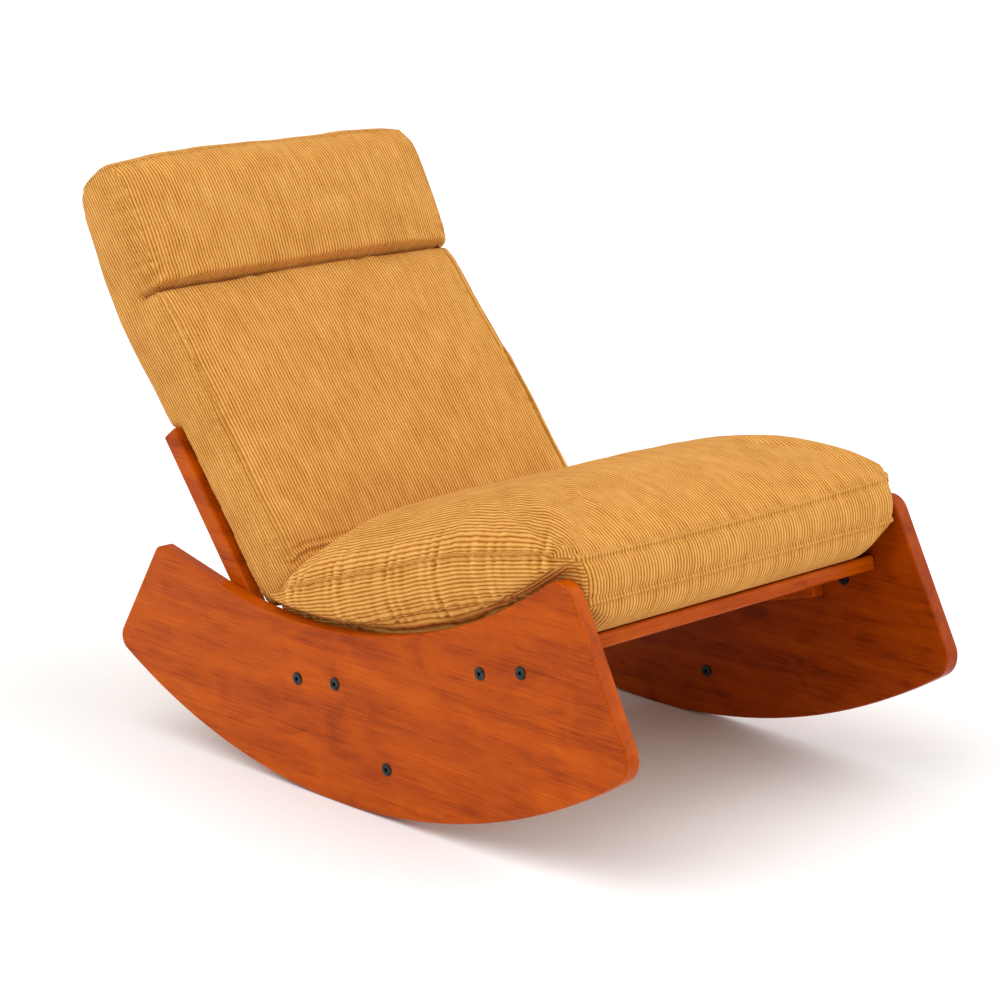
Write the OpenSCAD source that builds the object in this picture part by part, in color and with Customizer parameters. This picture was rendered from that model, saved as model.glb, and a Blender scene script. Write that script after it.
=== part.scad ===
// Rocking lounge chair: two plywood rocker panels carry an L-shaped seat and back frame,
// a slatted deck, a loose boxed seat cushion and a fixed padded back with a headrest.
// X runs across the chair, -Y is the way the sitter faces, +Z is up. The origin is on the
// floor, midway between the points where the two runners touch it.

/* [Rocker panels] */
// Width over both rocker panels
overall_w = 640; // [540:1:780]
// Thickness of each plywood panel
panel_t = 24; // [18:1:30]
// Radius of the runner curve
runner_r = 934; // [780:1:1130]
// Front edge, ahead of the contact point at edge_height
front_reach = 518; // [480:1:560]
// Rear edge, behind the contact point at edge_height
rear_reach = 421; // [380:1:470]
// Height at which both reaches are taken
edge_height = 200; // [180:1:220]
// Lean of the front edge from the vertical
front_lean = 27.3; // [22:0.1:32]
// Lean of the rear edge from the vertical
rear_lean = 31.6; // [26:0.1:36]
// Height of the lowest point of the dished top edge
dish_height = 232; // [215:1:250]
// Lowest point of the dish, behind the contact point
dish_back = 67; // [40:1:90]
// Radius of the dished top edge
dish_r = 789; // [700:1:950]
// Slope of the straight run from the dish to the rear corner
shoulder_slope = 13; // [9:0.5:17]
// Radius of the upper front corner
front_top_r = 28; // [15:1:34]
// Radius of the lower front corner
front_low_r = 34; // [15:1:45]
// Radius of the upper rear corner
rear_top_r = 14; // [8:1:24]
// Radius of the lower rear corner
rear_low_r = 21; // [10:1:30]

/* [Seat deck] */
// Slope of the deck, front edge higher
seat_tilt = 14; // [10:0.5:17]
// Front edge of the deck, ahead of the contact point
deck_front = 396; // [375:1:405]
// Height of the deck's front edge
deck_height = 300; // [292:1:308]
// Thickness of the front rail
front_rail_t = 20; // [15:1:21]
// Depth of the front rail
front_rail_d = 118; // [112:1:122]
// Gap between the front rail and each panel
rail_gap = 1; // [0.5:0.5:3]
// Number of sprung slats
slat_count = 5; // [3:1:5]
// Width of one slat
slat_w = 60; // [40:1:64]
// Thickness of one slat
slat_t = 10; // [7:1:12]
// Wall of the slat holders
holder_wall = 2; // [1.5:0.5:3]
// Length of one slat holder
holder_l = 34; // [26:1:45]

/* [Side frames] */
// Thickness of the L-shaped side frames
frame_t = 21; // [18:1:24]
// Front end of the leg, behind the deck's front edge
leg_start = 100; // [92:1:105]
// Height of the leg at its front end
leg_front_h = 31; // [29:1:40]
// Height of the leg at the strut
leg_rear_h = 41; // [38:1:50]
// Height of the strut's top above the back's lower seam, along the back
strut_top = 268; // [255:1:300]
// Depth of the strut, front to rear
strut_d = 29; // [27:1:36]
// Lean of the strut from the deck's normal
strut_lean = 23.7; // [22:0.1:25]
// Radius inside the corner between leg and strut
crook_r = 25; // [15:1:30]
// Thickness of the rear stretcher
stretcher_t = 18; // [15:1:20]

/* [Back] */
// Lower front seam of the back cushion, behind the deck's front edge
back_foot = 517; // [510:1:525]
// Height of that seam above the deck
back_foot_h = 112; // [107:1:117]
// Lean of the back from the deck's normal
back_lean = 25.5; // [25:0.1:26.2]
// Thickness of the lower back cushion
back_t = 70; // [60:1:80]
// Extra thickness above the struts
back_step = 31; // [15:1:36]
// Length of the back from its lower seam to the headrest crease
crease_at = 447; // [410:1:480]
// Height of the headrest roll
headrest_h = 203; // [170:1:230]
// Thickness of the board inside the back
board_t = 9; // [6:1:12]
// Thickness of the back rails
back_rail_t = 26; // [22:1:28]
// Height of the back rails
back_rail_h = 50; // [40:1:52]

/* [Cushions] */
// Height of the seat cushion's boxing seam above the deck
boxing_h = 107; // [95:1:112]
// Crown of the seat cushion above that seam
crown_h = 62; // [30:1:70]
// Overhang of the cushion's front in front of the deck
nose = 57; // [40:1:66]
// Gap left round a soft part
soft_gap = 1.5; // [1:0.5:4]

/* [Fasteners] */
// Diameter of the connector bolts
bolt_d = 6; // [5:0.5:8]
// Diameter of the bolt and sleeve nut heads
bolt_head_d = 17; // [14:0.5:20]
// Height of those heads above the wood
bolt_head_h = 2.2; // [1.5:0.1:3]
// Diameter of the wooden dowels
dowel_d = 6; // [5:1:8]
// Length of the wooden dowels
dowel_l = 28; // [24:1:32]
// Length of each zip
zip_l = 460; // [380:1:480]

/* [Hidden] */
$fn = 64;

wood = "#b4530f";
ply = "#c9955a";
cord = "#d79a47";
steel = "#2b2f31";
zinc = "#a9a9a4";
plastic = "#26221f";
tape = "#b07a34";

inner_half = overall_w / 2 - panel_t;
frame_half = inner_half - frame_t;
fit = 0.15;
hair = 0.3;

// Connector bolts on the deck's own axes: the last three hold the side frames
spare_bolt = [60.3, -30.6];
frame_bolts = [[134.3, -29.6], [418.3, -36.6], [493.3, -27.6]];
// The lowest bolt, on the chair's axes
low_bolt = [-99, 70];

insert_l = 15;
insert_wall = 2.5;
sleeve_wall = 1.6;

leg_top = -front_rail_t;
leg_low_front = leg_top - leg_front_h;
leg_low_rear = leg_top - leg_rear_h;
strut_u = [sin(strut_lean), cos(strut_lean)];
strut_v = [cos(strut_lean), -sin(strut_lean)];
strut_tip = [back_foot, back_foot_h] + strut_top * [sin(back_lean), cos(back_lean)]
    + (back_t + soft_gap) * [cos(back_lean), -sin(back_lean)];
strut_base = strut_tip - strut_u * ((strut_tip[1] - leg_top) / strut_u[1]);
strut_heel = strut_base + strut_v * strut_d
    + strut_u * ((leg_low_rear - leg_top + strut_d * sin(strut_lean)) / cos(strut_lean));
crook_back = crook_r * tan((90 - strut_lean) / 2);

slat_top = -holder_wall;
holder_w = slat_w + 6;
slat_first = front_rail_d + 8;
stretcher_front = strut_base[0] - stretcher_t - 3;
slat_pitch = (stretcher_front - 5 - slat_w - slat_first) / (slat_count - 1);
slat_half = inner_half - 8;
seat_l = back_foot + 2;

back_w = inner_half - 6;
lower_rail_at = 40;
upper_rail_at = 205;
step_at = strut_top + 2;
board_half = back_w - 35;
board_low = -8;
board_rear = back_t - 4;
board_high = crease_at + headrest_h - 52;
screw_xs = [-170, 0, 170];
screw_head_h = 2.5;
back_zip_at = (lower_rail_at + back_rail_h + upper_rail_at) / 2;
seat_zip_at = 45;
zip_tape_w = 28;
zip_tape_t = 1;
zip_teeth_w = 5;
zip_teeth_t = 2;
slider_l = 12;
slider_w = 10;
slider_h = 4.6;

// Point on the deck's axes [back along the deck, up from it] as [y, z] of the chair
function world(p) = [
    -deck_front + p[0] * cos(seat_tilt) + p[1] * sin(seat_tilt),
    deck_height - p[0] * sin(seat_tilt) + p[1] * cos(seat_tilt)];
function dot(a, b) = a[0] * b[0] + a[1] * b[1];
// Point where the line p.n = d crosses the circle about c, on the side given by turn
function line_circle(n, d, c, r, turn) =
    let (h = d - dot(c, n)) c + n * h + turn * sqrt(r * r - h * h) * [-n[1], n[0]];

// Places a flat shape drawn as [y, z] and gives it the stretch x0 to x1
module across(x0, x1) translate([x0, 0, 0]) rotate([90, 0, 90]) linear_extrude(x1 - x0) children();
module on_deck() translate([0, -deck_front, deck_height]) rotate([-seat_tilt, 0, 0]) children();
module on_back() on_deck() translate([0, back_foot, back_foot_h]) rotate([-back_lean, 0, 0]) children();
module both_sides() { children(); mirror([1, 0, 0]) children(); }
module handed(side) if (side < 0) mirror([1, 0, 0]) children(); else children();
// A rod along X from x0 to x1 at [y, z]
module rod(x0, x1, at, r) translate([x0, at[0], at[1]]) rotate([0, 90, 0]) cylinder(h = x1 - x0, r = r);
module block(a, b) translate(a) cube(b - a);

// ---- Rocker panels ----

front_n = [-cos(front_lean), sin(front_lean)];
rear_n = [cos(rear_lean), sin(rear_lean)];
shoulder_n = [-sin(shoulder_slope), cos(shoulder_slope)];
runner_c = [0, runner_r];
dish_c = [dish_back, dish_height + dish_r];
front_d = dot([-front_reach, edge_height], front_n);
rear_d = dot([rear_reach, edge_height], rear_n);
shoulder_d = dot(dish_c, shoulder_n) - dish_r;
far = 2000;

front_top_c = line_circle(front_n, front_d - front_top_r, dish_c, dish_r + front_top_r, 1);
front_low_c = line_circle(front_n, front_d - front_low_r, runner_c, runner_r - front_low_r, 1);
rear_low_c = line_circle(rear_n, rear_d - rear_low_r, runner_c, runner_r - rear_low_r, -1);
rear_top_c = let (a = rear_d - rear_top_r, b = shoulder_d - rear_top_r,
    k = rear_n[0] * shoulder_n[1] - rear_n[1] * shoulder_n[0])
    [(a * shoulder_n[1] - b * rear_n[1]) / k, (b * rear_n[0] - a * shoulder_n[0]) / k];

// Everything on the far side of the line p.n = d
module beyond(n, d) translate(n * d) rotate(atan2(n[1], n[0])) translate([0, -far]) square([far, 2 * far]);
// The wedge outside a corner circle at c, between its two tangent directions
module corner_waste(c, u, v, r) {
    reach = 4 * r;
    m = (u + v) / norm(u + v);
    polygon([c, c + u * reach, c + m * reach * 1.4, c + v * reach]);
}
function unit(v) = v / norm(v);

module panel_outline() {
    difference() {
        translate(runner_c) circle(r = runner_r, $fn = 360);
        translate(dish_c) circle(r = dish_r, $fn = 360);
        beyond(front_n, front_d);
        beyond(rear_n, rear_d);
        translate(dish_c - shoulder_n * dish_r) rotate(shoulder_slope) square(far);
        translate([-far, dish_c[1] - dish_r * cos(50)]) square([2 * far, far]);
        corner_waste(front_top_c, front_n, unit(dish_c - front_top_c), front_top_r);
        corner_waste(front_low_c, front_n, unit(front_low_c - runner_c), front_low_r);
        corner_waste(rear_low_c, rear_n, unit(rear_low_c - runner_c), rear_low_r);
        corner_waste(rear_top_c, rear_n, shoulder_n, rear_top_r);
    }
    translate(front_top_c) circle(r = front_top_r);
    translate(front_low_c) circle(r = front_low_r);
    translate(rear_low_c) circle(r = rear_low_r);
    translate(rear_top_c) circle(r = rear_top_r);
}

// Dowel places in the front rail's ends, on the deck's axes
front_dowel_ys = [30, 78];

module side_panel(side) {
    color(wood) handed(side) difference() {
        across(inner_half, overall_w / 2) panel_outline();
        for (p = frame_bolts)
            rod(inner_half - 1, overall_w / 2 + 1, world(p), bolt_d / 2 + fit);
        for (p = [world(spare_bolt), low_bolt])
            rod(inner_half - 1, overall_w / 2 + 1, p, bolt_d / 2 + sleeve_wall + 2 * fit);
        on_deck() for (y = front_dowel_ys)
            rod(inner_half - 1, inner_half + dowel_l / 2, [y, -front_rail_t / 2], dowel_d / 2 + fit);
    }
}

// ---- Side frames ----

module side_frame_outline() {
    polygon([[leg_start, leg_top], strut_base, strut_tip, strut_tip + strut_v * strut_d,
        strut_heel, [leg_start, leg_low_front]]);
    difference() {
        polygon([strut_base, strut_base - [crook_back, 0],
            strut_base + [-crook_back, crook_r], strut_base + strut_u * crook_back]);
        translate(strut_base + [-crook_back, crook_r]) circle(r = crook_r);
    }
}

module side_frame(side) {
    color(wood) handed(side) difference() {
        on_deck() across(frame_half, inner_half) side_frame_outline();
        for (p = frame_bolts)
            rod(inner_half - insert_l, inner_half + 1, world(p), bolt_d / 2 + insert_wall + fit);
        on_deck() for (z = stretcher_dowel_zs)
            rod(frame_half - 1, frame_half + dowel_l / 2, [stretcher_front + stretcher_t / 2, z],
                dowel_d / 2 + fit);
        on_back() for (z = back_dowel_zs)
            rod(frame_half - 1, frame_half + dowel_l / 2, [back_dowel_y, z], dowel_d / 2 + fit);
        on_deck() translate([frame_half + frame_t / 2, front_screw_y, leg_top - front_screw_l])
            cylinder(h = front_screw_l + 1, r = front_screw_d / 2 + fit);
    }
}

// ---- Cross members ----

front_screw_d = 4;
front_screw_l = 22;
front_screw_y = (leg_start + front_rail_d) / 2;
stretcher_dowel_zs = [leg_low_rear + 10, leg_top - 11];
back_dowel_zs = [lower_rail_at + 12, lower_rail_at + back_rail_h - 12,
    upper_rail_at + 12, upper_rail_at + back_rail_h - 12];
back_dowel_y = back_t + hair + back_rail_t - dowel_d / 2 - 4.5;

module front_rail() {
    half = inner_half - rail_gap;
    color(wood) difference() {
        on_deck() block([-half, 0, -front_rail_t], [half, front_rail_d, 0]);
        on_deck() both_sides() for (y = front_dowel_ys)
            rod(inner_half - dowel_l / 2, inner_half + 1, [y, -front_rail_t / 2], dowel_d / 2 + fit);
        on_deck() both_sides() translate([frame_half + frame_t / 2, front_screw_y, -front_rail_t - 1]) {
            cylinder(h = front_rail_t + 2, r = front_screw_d / 2 + fit);
            translate([0, 0, front_rail_t - 2]) cylinder(h = 4, r = front_screw_d + fit);
        }
    }
}

module rear_stretcher() {
    color(wood) difference() {
        on_deck() block([-frame_half, stretcher_front, leg_low_rear + 1],
            [frame_half, stretcher_front + stretcher_t, leg_top - 1]);
        on_deck() both_sides() for (z = stretcher_dowel_zs)
            rod(frame_half - dowel_l / 2, frame_half + 1, [stretcher_front + stretcher_t / 2, z],
                dowel_d / 2 + fit);
    }
}

function slat_y(i) = slat_first + (i - 1) * slat_pitch;

module seat_slat(i) {
    color(ply) on_deck() block([-slat_half, slat_y(i), slat_top - slat_t],
        [slat_half, slat_y(i) + slat_w, slat_top]);
}

module slat_holders(side) {
    rim = (holder_w - slat_w) / 2;
    color(plastic) handed(side) on_deck() for (i = [1 : slat_count]) difference() {
        block([inner_half - rail_gap - holder_l, slat_y(i) - rim, leg_top],
            [inner_half - rail_gap, slat_y(i) + slat_w + rim, 0]);
        block([inner_half - rail_gap - holder_l - 1, slat_y(i) - fit, slat_top - slat_t - fit],
            [slat_half + fit, slat_y(i) + slat_w + fit, slat_top + fit]);
    }
}

module back_rail(at) {
    color(wood) difference() {
        on_back() block([-frame_half, back_t + hair, at],
            [frame_half, back_t + hair + back_rail_t, at + back_rail_h]);
        on_back() both_sides() for (z = back_dowel_zs)
            rod(frame_half - dowel_l / 2, frame_half + 1, [back_dowel_y, z], dowel_d / 2 + fit);
        back_screw_holes(3);
    }
}

module back_board() {
    color(ply) difference() {
        on_back() block([-board_half, board_rear - board_t, board_low],
            [board_half, board_rear, board_high]);
        back_screw_holes(tee_r + fit);
    }
}

// ---- Fasteners ----

tee_r = 4.5;
tee_flange_r = 9;
tee_flange_t = 1.5;

// Holes for the back screws, all the way from the board to behind the rails
module back_screw_holes(r) on_back() for (x = screw_xs, z = back_screw_zs)
    translate([x, 0, z]) rotate([-90, 0, 0]) cylinder(h = back_t + back_rail_t + 20, r = r);
back_screw_zs = [lower_rail_at + back_rail_h / 2, upper_rail_at + back_rail_h / 2];

// Connector bolt with its head on the outer face at the given place, reaching x1
module connector_bolt(at, x1) difference() {
    union() {
        rod(x1, overall_w / 2 + 0.01, at, bolt_d / 2);
        translate([overall_w / 2, at[0], at[1]]) rotate([0, 90, 0]) {
            cylinder(h = bolt_head_h - 0.7, r = bolt_head_d / 2);
            translate([0, 0, bolt_head_h - 0.7])
                cylinder(h = 0.7, r1 = bolt_head_d / 2, r2 = bolt_head_d / 2 - 1.4);
        }
    }
    translate([overall_w / 2 + bolt_head_h - 3, at[0], at[1]]) rotate([0, 90, 0])
        cylinder(h = 4, r = 2.9, $fn = 6);
}

module panel_bolts(side) {
    color(steel) handed(side) {
        for (p = frame_bolts) connector_bolt(world(p), inner_half - insert_l + 1);
        for (p = [world(spare_bolt), low_bolt]) connector_bolt(p, inner_half + 6);
    }
}

module sleeve_nuts(side) {
    color(steel) handed(side) for (p = [world(spare_bolt), low_bolt]) difference() {
        union() {
            rod(inner_half - 0.01, overall_w / 2 - 3, p, bolt_d / 2 + sleeve_wall + fit);
            rod(inner_half - bolt_head_h, inner_half, p, bolt_head_d / 2);
        }
        rod(inner_half + 3, overall_w / 2, p, bolt_d / 2 + fit);
        translate([inner_half - bolt_head_h - 1, p[0], p[1]]) rotate([0, 90, 0])
            cylinder(h = 3, r = 2.9, $fn = 6);
    }
}

module frame_inserts(side) {
    color(zinc) handed(side) for (p = frame_bolts) difference() {
        rod(inner_half - insert_l, inner_half - 0.2, world(p), bolt_d / 2 + insert_wall);
        rod(inner_half - insert_l - 1, inner_half + 1, world(p), bolt_d / 2 + fit);
    }
}

module dowel(x, at) rod(x - dowel_l / 2 + 0.5, x + dowel_l / 2 - 0.5, at, dowel_d / 2);

module front_rail_dowels() color(ply) on_deck() both_sides() for (y = front_dowel_ys)
    dowel(inner_half, [y, -front_rail_t / 2]);

module stretcher_dowels() color(ply) on_deck() both_sides() for (z = stretcher_dowel_zs)
    dowel(frame_half, [stretcher_front + stretcher_t / 2, z]);

module back_rail_dowels() color(ply) on_back() both_sides() for (z = back_dowel_zs)
    dowel(frame_half, [back_dowel_y, z]);

module front_rail_screws() color(zinc) on_deck() both_sides()
    translate([frame_half + frame_t / 2, front_screw_y, 0]) difference() {
        union() {
            translate([0, 0, leg_top - front_screw_l + 1])
                cylinder(h = front_screw_l + front_rail_t - 1.5, r = front_screw_d / 2);
            translate([0, 0, -1.7]) cylinder(h = 1.5, r = front_screw_d - 0.2);
        }
        translate([0, 0, -1.4]) cylinder(h = 3, r = 1.6, $fn = 6);
    }

module back_screws() {
    rear = back_t + hair + back_rail_t;
    color(zinc) on_back() for (x = screw_xs, z = back_screw_zs) translate([x, 0, z])
        rotate([-90, 0, 0]) difference() {
            union() {
                translate([0, 0, board_rear - board_t + tee_flange_t])
                    cylinder(h = rear - board_rear + board_t - tee_flange_t + 0.01, r = 2.5);
                translate([0, 0, rear]) cylinder(h = screw_head_h, r = 5.5);
            }
            translate([0, 0, rear + screw_head_h - 1.8]) cylinder(h = 3, r = 2, $fn = 6);
        }
}

module board_tee_nuts() {
    front = board_rear - board_t;
    color(zinc) on_back() for (x = screw_xs, z = back_screw_zs) translate([x, 0, z])
        rotate([-90, 0, 0]) difference() {
            union() {
                translate([0, 0, front - tee_flange_t - 0.1]) cylinder(h = tee_flange_t, r = tee_flange_r);
                translate([0, 0, front - 0.2]) cylinder(h = board_t - 1, r = tee_r);
            }
            translate([0, 0, front - tee_flange_t + 0.5]) cylinder(h = board_t + 2, r = 2.5 + fit);
        }
}

// ---- Soft parts ----

// Side view of the seat cushion through its crown, on the deck's axes
function seat_profile() = [[0, hair], [-0.55 * nose, 13], [-nose, 41], [-nose, 60], [10 - nose, boxing_h],
    [-0.3 * nose, boxing_h + 0.4 * crown_h], [0.1 * seat_l, boxing_h + 0.85 * crown_h],
    [0.35 * seat_l, boxing_h + crown_h], [0.6 * seat_l, boxing_h + 0.9 * crown_h],
    [seat_l - 94, boxing_h + 0.45 * crown_h], [seat_l - 44, boxing_h + 12], [seat_l - 9, boxing_h - 28],
    [seat_l, boxing_h - 38], [seat_l, 14], [seat_l - 14, hair]];

module seat_cushion() {
    belly = overall_w / 2 - soft_gap;
    crown_half = 0.6 * inner_half;
    color(cord) difference() {
        intersection() {
            on_deck() across(-belly, belly) polygon(seat_profile());
            on_deck() translate([0, seat_l + 1, 0]) rotate([90, 0, 0]) linear_extrude(seat_l + nose + 2)
                polygon([[-belly - 1, -1], [-belly - 1, boxing_h + 14], [-crown_half, boxing_h + crown_h],
                    [crown_half, boxing_h + crown_h], [belly + 1, boxing_h + 14], [belly + 1, -1]]);
        }
        both_sides() across(inner_half - soft_gap, overall_w) difference() {
            translate([-far, -far]) square([2 * far, far + dish_c[1]]);
            translate(dish_c) circle(r = dish_r - soft_gap, $fn = 360);
        }
    }
}

// Zip tape with its closed teeth, flat against the face at y = 0 and facing +Y
module zip_strip() {
    color(tape) {
        block([-zip_l / 2, hair, -zip_tape_w / 2], [zip_l / 2, hair + zip_tape_t, zip_tape_w / 2]);
        block([-zip_l / 2 + 4, hair + zip_tape_t - 0.01, -zip_teeth_w / 2],
            [zip_l / 2 - 4, hair + zip_tape_t + zip_teeth_t, zip_teeth_w / 2]);
    }
}

// Slider with its pull tab hanging down, at the right-hand end of its run
module zip_slider() {
    base = hair + zip_tape_t + hair;
    color(zinc) translate([zip_l / 2 - 20, 0, 0]) {
        difference() {
            block([-slider_l / 2, base, -slider_w / 2], [slider_l / 2, base + slider_h, slider_w / 2]);
            block([-slider_l, 0, -zip_teeth_w / 2 - hair],
                [slider_l, hair + zip_tape_t + zip_teeth_t + hair, zip_teeth_w / 2 + hair]);
        }
        block([-3, base + slider_h - 0.01, -24], [3, base + slider_h + 1.5, 3]);
    }
}

module seat_zip() on_deck() translate([0, seat_l, seat_zip_at]) zip_strip();
module seat_zip_slider() on_deck() translate([0, seat_l, seat_zip_at]) zip_slider();
module back_zip() on_back() translate([0, back_t, back_zip_at]) zip_strip();
module back_zip_slider() on_back() translate([0, back_t, back_zip_at]) zip_slider();

// Pocket in the padding for the board, its tee nuts and its screws
module board_pocket() {
    on_back() block([-board_half - 1, board_rear - board_t - 0.5, -60],
        [board_half + 1, board_rear + 0.5, board_high + 2]);
    on_back() for (x = screw_xs, z = back_screw_zs) translate([x, 0, z]) rotate([-90, 0, 0]) {
        translate([0, 0, board_rear - board_t - tee_flange_t - 1]) cylinder(h = 3, r = tee_flange_r + 1);
        translate([0, 0, board_rear]) cylinder(h = 20, r = 3.5);
    }
}

module back_cushion() {
    thick = back_t + back_step;
    top = crease_at - hair;
    color(cord) difference() {
        on_back() across(-back_w, back_w) polygon([[6, -12], [0, 8], [-6, 60], [-8, 0.5 * top],
            [-6, top - 60], [0, top - 10], [6, top], [thick - 3, top], [thick, top - 17],
            [thick, step_at + 6], [back_t, step_at], [back_t, -10], [back_t - 14, -27], [20, -27]]);
        board_pocket();
    }
}

module headrest_cushion() {
    thick = back_t + back_step;
    low = crease_at + hair;
    top = crease_at + headrest_h;
    color(cord) difference() {
        on_back() across(-back_w, back_w) polygon([[4, low], [-16, low + 12], [-26, low + 53],
            [-44, top - 50], [-34, top - 18], [10, top], [thick - 53, top - 12], [thick - 37, top - 40],
            [thick - 16, low + 83], [thick - 4, low + 20], [thick - 3, low]]);
        board_pocket();
    }
}

side_panel(-1);  // side_panel_left
side_panel(1);  // side_panel_right
side_frame(-1);  // side_frame_left
side_frame(1);  // side_frame_right
front_rail();
rear_stretcher();
seat_slat(1);  // seat_slat_1
seat_slat(2);  // seat_slat_2
seat_slat(3);  // seat_slat_3
seat_slat(4);  // seat_slat_4
seat_slat(5);  // seat_slat_5
slat_holders(-1);  // slat_holders_left
slat_holders(1);  // slat_holders_right
back_rail(lower_rail_at);  // back_rail_lower
back_rail(upper_rail_at);  // back_rail_upper
back_board();
panel_bolts(-1);  // panel_bolts_left
panel_bolts(1);  // panel_bolts_right
sleeve_nuts(-1);  // sleeve_nuts_left
sleeve_nuts(1);  // sleeve_nuts_right
frame_inserts(-1);  // frame_inserts_left
frame_inserts(1);  // frame_inserts_right
front_rail_dowels();
stretcher_dowels();
back_rail_dowels();
front_rail_screws();
back_screws();
board_tee_nuts();
seat_cushion();
seat_zip();
seat_zip_slider();
back_cushion();
headrest_cushion();
back_zip();
back_zip_slider();
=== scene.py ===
# Rocking lounge chair: lacquered plywood rockers, corduroy seat and back.
import math
import bmesh
import bpy
import numpy as np
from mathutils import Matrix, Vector, kdtree


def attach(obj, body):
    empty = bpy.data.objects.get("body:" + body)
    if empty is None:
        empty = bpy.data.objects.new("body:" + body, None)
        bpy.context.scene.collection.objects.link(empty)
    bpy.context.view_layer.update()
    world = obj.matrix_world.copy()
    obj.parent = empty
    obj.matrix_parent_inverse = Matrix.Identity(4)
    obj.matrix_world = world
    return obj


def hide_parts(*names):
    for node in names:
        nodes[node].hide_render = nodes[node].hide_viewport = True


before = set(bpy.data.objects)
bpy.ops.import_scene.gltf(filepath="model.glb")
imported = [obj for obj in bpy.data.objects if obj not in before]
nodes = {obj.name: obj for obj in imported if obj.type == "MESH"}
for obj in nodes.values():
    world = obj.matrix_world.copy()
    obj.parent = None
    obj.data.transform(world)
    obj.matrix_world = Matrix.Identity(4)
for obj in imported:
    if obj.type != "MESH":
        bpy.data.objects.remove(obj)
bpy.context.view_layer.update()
scene = bpy.context.scene
mm = 0.001
print("frame loaded:", len(nodes), "nodes")

# camera, light and floor

camera = {"azimuth": -44.205, "elevation": 14.181, "distance": 4.239, "lens": 111.6,
          "aim": (0.0, 0.0205, 0.3516)}
studio = {"world": 0.64, "worldColour": "#FFFFFF", "clipEnd": 90.0,
          "key": {"azimuth": -108, "elevation": 58, "strength": 1.6, "spread": 62},
          "fill": {"azimuth": 38, "elevation": 38, "strength": 1.3, "spread": 70},
          "floorColour": "#FAFAF9", "floorShade": "#F8F8F7", "floorMottle": 1250.0, "floorSize": 70.0}


def towards(azimuth, elevation):
    turn, tilt = math.radians(azimuth), math.radians(elevation)
    return Vector((math.sin(turn) * math.cos(tilt), -math.cos(turn) * math.cos(tilt), math.sin(tilt)))


def toLinear(hexColour):
    channels = [int(hexColour[i:i + 2], 16) / 255 for i in (1, 3, 5)]
    return tuple(c / 12.92 if c <= 0.04045 else ((c + 0.055) / 1.055) ** 2.4 for c in channels) + (1.0,)


def addNode(tree, kind, settings=None, inputs=None, steps=()):
    # an input is a constant, a socket, or a node that gives its first output; steps colour a ramp
    node = tree.nodes.new("ShaderNode" + kind)
    for name, value in (settings or {}).items():
        setattr(node, name, value)
    for name, value in (inputs or {}).items():
        if isinstance(value, bpy.types.Node):
            value = value.outputs[0]
        if isinstance(value, bpy.types.NodeSocket):
            tree.links.new(value, node.inputs[name])
        else:
            node.inputs[name].default_value = value
    while steps and len(node.color_ramp.elements) < len(steps):
        node.color_ramp.elements.new(0.5)
    for number, (place, hexColour) in enumerate(steps):
        node.color_ramp.elements[number].position = place
        node.color_ramp.elements[number].color = toLinear(hexColour)
    return node


def newMaterial(name, **shaderInputs):
    material = bpy.data.materials.new(name)
    material.use_nodes = True
    tree = material.node_tree
    tree.nodes.clear()
    shader = addNode(tree, "BsdfPrincipled", inputs=shaderInputs)
    addNode(tree, "OutputMaterial", inputs={"Surface": shader})
    return material, tree, shader


def makeCamera():
    obj = bpy.data.objects.new("camera", bpy.data.cameras.new("camera"))
    scene.collection.objects.link(obj)
    obj.data.lens = camera["lens"]
    obj.data.sensor_width = 36
    obj.data.clip_end = studio["clipEnd"]
    back = towards(camera["azimuth"], camera["elevation"])
    obj.location = Vector(camera["aim"]) + back * camera["distance"]
    obj.rotation_mode = "QUATERNION"
    obj.rotation_quaternion = (-back).to_track_quat("-Z", "Y")
    scene.camera = obj


def addSun(name, sun):
    obj = bpy.data.objects.new(name, bpy.data.lights.new(name, "SUN"))
    scene.collection.objects.link(obj)
    obj.data.energy = sun["strength"]
    obj.data.angle = math.radians(sun["spread"])
    obj.rotation_mode = "QUATERNION"
    obj.rotation_quaternion = towards(sun["azimuth"], sun["elevation"]).to_track_quat("Z", "Y")


def makeStudio():
    scene.view_settings.view_transform = "Standard"
    scene.world = bpy.data.worlds.new("studio")
    scene.world.use_nodes = True
    backdrop = scene.world.node_tree.nodes["Background"]
    backdrop.inputs["Color"].default_value = toLinear(studio["worldColour"])
    backdrop.inputs["Strength"].default_value = studio["world"]
    addSun("key", studio["key"])
    addSun("fill", studio["fill"])
    bm = bmesh.new()
    bmesh.ops.create_grid(bm, x_segments=2, y_segments=2, size=studio["floorSize"] / 2)
    floor = newObject("floor", bm)
    paper, tree, shader = newMaterial("matt white paper", Roughness=0.9)
    place = addNode(tree, "TexCoord").outputs["Object"]
    mottle = addNode(tree, "TexNoise", inputs={"Vector": place, "Scale": 1000 / studio["floorMottle"]})
    tone = addNode(tree, "ValToRGB", inputs={"Fac": mottle},
                   steps=[(0.3, studio["floorShade"]), (0.7, studio["floorColour"])])
    tree.links.new(tone.outputs[0], shader.inputs["Base Color"])
    floor.data.materials.append(paper)


def newObject(name, bm):
    mesh = bpy.data.meshes.new(name)
    bm.to_mesh(mesh)
    bm.free()
    obj = bpy.data.objects.new(name, mesh)
    scene.collection.objects.link(obj)
    return obj


makeCamera()
makeStudio()
print("camera, lights and floor ready")

# wood and metal finishes

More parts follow.
